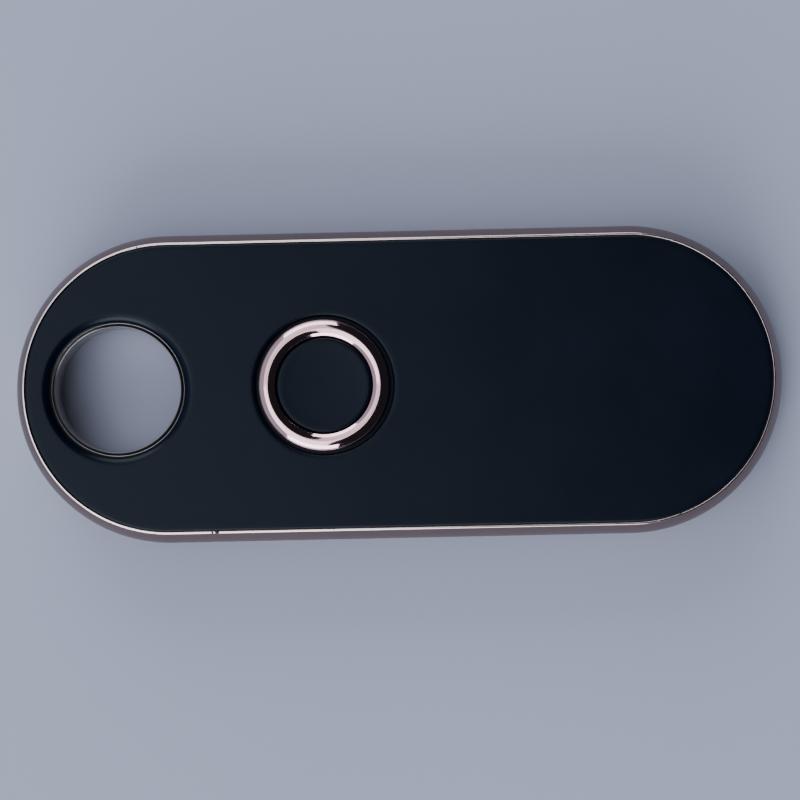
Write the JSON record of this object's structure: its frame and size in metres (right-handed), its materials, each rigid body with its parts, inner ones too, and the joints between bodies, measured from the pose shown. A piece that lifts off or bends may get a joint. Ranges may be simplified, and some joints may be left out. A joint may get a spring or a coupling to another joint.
{
  "type": "bluetooth tracker tag",
  "caption": "Flat stadium-shaped bluetooth tracker tag with a metal rim, keyring hole, ringed push button and a lift-off front cover over a coin cell.",
  "frame": {"origin": "middle of the flat back face", "axes": "+X along the length, away from the keyring hole; +Z from the back face to the front face with the button; +Y across the width"},
  "size_m": [0.058, 0.0232, 0.0065],
  "materials": {
    "rose_metal": "satin rose-mauve plating with a thin polished lip",
    "rose_polish": "mirror-polished rose gold",
    "black_shell": "fine satin black",
    "dark_nickel": "dark nickel, satin",
    "silicone": "matt dark grey silicone",
    "black_plastic": "moulded black",
    "steel": "bright stamped steel",
    "board_green": "green solder mask",
    "chip_black": "matt moulding compound",
    "crystal_can": "bright lid",
    "antenna_ceramic": "pale ceramic",
    "capacitor_tan": "tan ceramic",
    "inductor_grey": "grey ferrite",
    "resistor_black": "black film on ceramic",
    "brass": "bright sheet",
    "piezo_ceramic": "matt ceramic",
    "cell_steel": "nickel-plated steel",
    "cell_seal": "dark nylon",
    "lithium": "soft grey metal",
    "cathode_black": "pressed black powder",
    "spring_metal": "gold-flashed spring metal"
  },
  "bodies": {
    "housing": {"rim_frame": "rose_metal", "back_cover": "black_shell", "keyring_sleeve": "dark_nickel", "switch_base": "black_plastic", "switch_dome": "steel", "switch_frame": "steel", "circuit_board": "board_green", "bluetooth_chip": "chip_black", "crystal_main": "crystal_can", "crystal_clock": "crystal_can", "chip_antenna": "antenna_ceramic", "sounder_case": "black_plastic", "sounder_plate": "brass", "sounder_disc": "piezo_ceramic", "cell_can": "cell_steel", "cell_cap": "cell_steel", "cell_gasket": "cell_seal", "cell_anode": "lithium", "cell_cathode": "cathode_black", "positive_contact": "spring_metal", "negative_contact": "spring_metal", "capacitor_1": "capacitor_tan", "capacitor_2": "capacitor_tan", "capacitor_3": "capacitor_tan", "capacitor_4": "capacitor_tan", "capacitor_5": "capacitor_tan", "capacitor_6": "capacitor_tan", "capacitor_7": "capacitor_tan", "capacitor_8": "capacitor_tan", "inductor_1": "inductor_grey", "resistor_1": "resistor_black", "inductor_2": "inductor_grey", "resistor_2": "resistor_black"},
    "cover": {"front_cover": "black_shell", "cover_gasket": "silicone", "button_ring": "rose_polish", "button_retainer": "black_plastic"},
    "button": {"button_cap": "black_shell", "button_pad": "silicone"},
    "plunger": {"switch_plunger": "black_plastic"}
  },
  "joints": [
    {"name": "cover_lift", "type": "slide", "parent": "housing", "child": "cover", "axis": [0, 0, 1], "range_m": [0, 0.012]},
    {"name": "button_press", "type": "slide", "parent": "cover", "child": "button", "axis": [0, 0, -1], "range_m": [0, 0.0002], "stiffness_N_per_m": 4000},
    {"name": "plunger_press", "type": "slide", "parent": "housing", "child": "plunger", "axis": [0, 0, -1], "range_m": [0, 0.0002], "deforming": ["switch_dome"]}
  ],
  "couplings": [
    {"joint": "plunger_press", "follows": "button_press", "ratio": 1}
  ]
}
